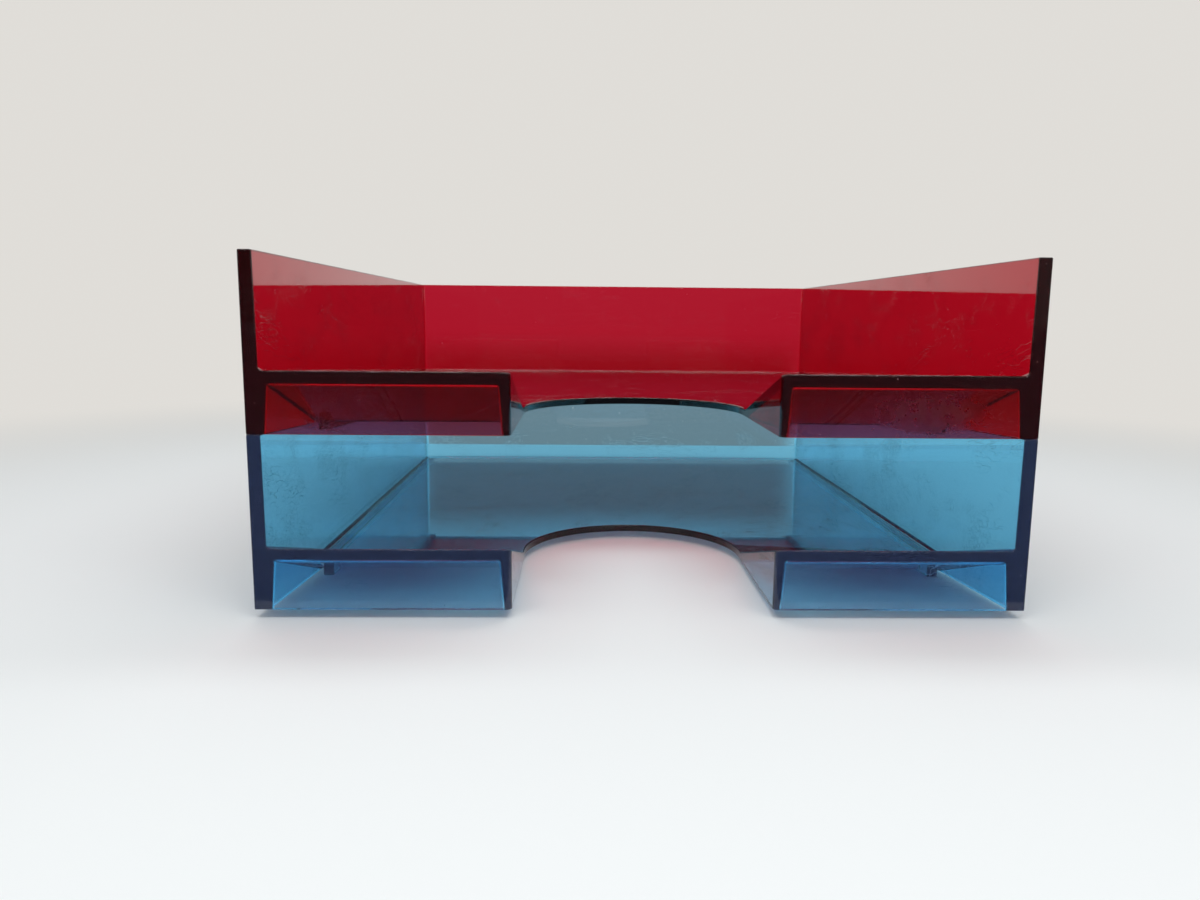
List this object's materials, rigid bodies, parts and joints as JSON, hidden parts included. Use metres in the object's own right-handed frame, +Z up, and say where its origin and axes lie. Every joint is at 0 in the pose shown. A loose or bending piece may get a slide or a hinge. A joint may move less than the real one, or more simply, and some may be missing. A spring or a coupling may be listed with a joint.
{
  "type": "letter tray stack",
  "caption": "Stack of clear coloured letter trays, open at the front, with a sloping hollow lip, a rounded thumb notch and runners that nest in the tray below.",
  "frame": {"origin": "on the surface that the stack stands on, under the middle of its outline", "axes": "+X to the right as seen from the front, -Y towards the open front, +Z up"},
  "size_m": [0.254, 0.305, 0.1183],
  "materials": {
    "blue_clear_plastic": "clear blue moulded plastic, glossy, dark where seen through its length",
    "red_clear_plastic": "clear red moulded plastic, glossy, dark where seen through its length"
  },
  "bodies": {
    "lower_tray": {"lower_floor": "blue_clear_plastic", "lower_back_wall": "blue_clear_plastic", "lower_left_side_wall": "blue_clear_plastic", "lower_right_side_wall": "blue_clear_plastic", "lower_left_lip_ramp": "blue_clear_plastic", "lower_right_lip_ramp": "blue_clear_plastic", "lower_left_notch_web": "blue_clear_plastic", "lower_right_notch_web": "blue_clear_plastic", "lower_left_front_apron": "blue_clear_plastic", "lower_right_front_apron": "blue_clear_plastic", "lower_left_runner": "blue_clear_plastic", "lower_right_runner": "blue_clear_plastic"},
    "upper_tray": {"upper_floor": "red_clear_plastic", "upper_back_wall": "red_clear_plastic", "upper_left_side_wall": "red_clear_plastic", "upper_right_side_wall": "red_clear_plastic", "upper_left_lip_ramp": "red_clear_plastic", "upper_right_lip_ramp": "red_clear_plastic", "upper_left_notch_web": "red_clear_plastic", "upper_right_notch_web": "red_clear_plastic", "upper_left_front_apron": "red_clear_plastic", "upper_right_front_apron": "red_clear_plastic", "upper_left_runner": "red_clear_plastic", "upper_right_runner": "red_clear_plastic"}
  },
  "joints": [
    {"name": "upper_tray_lift_off", "type": "slide", "parent": "lower_tray", "child": "upper_tray", "axis": [0, 0, 1], "range_m": [0, 0.08]}
  ]
}
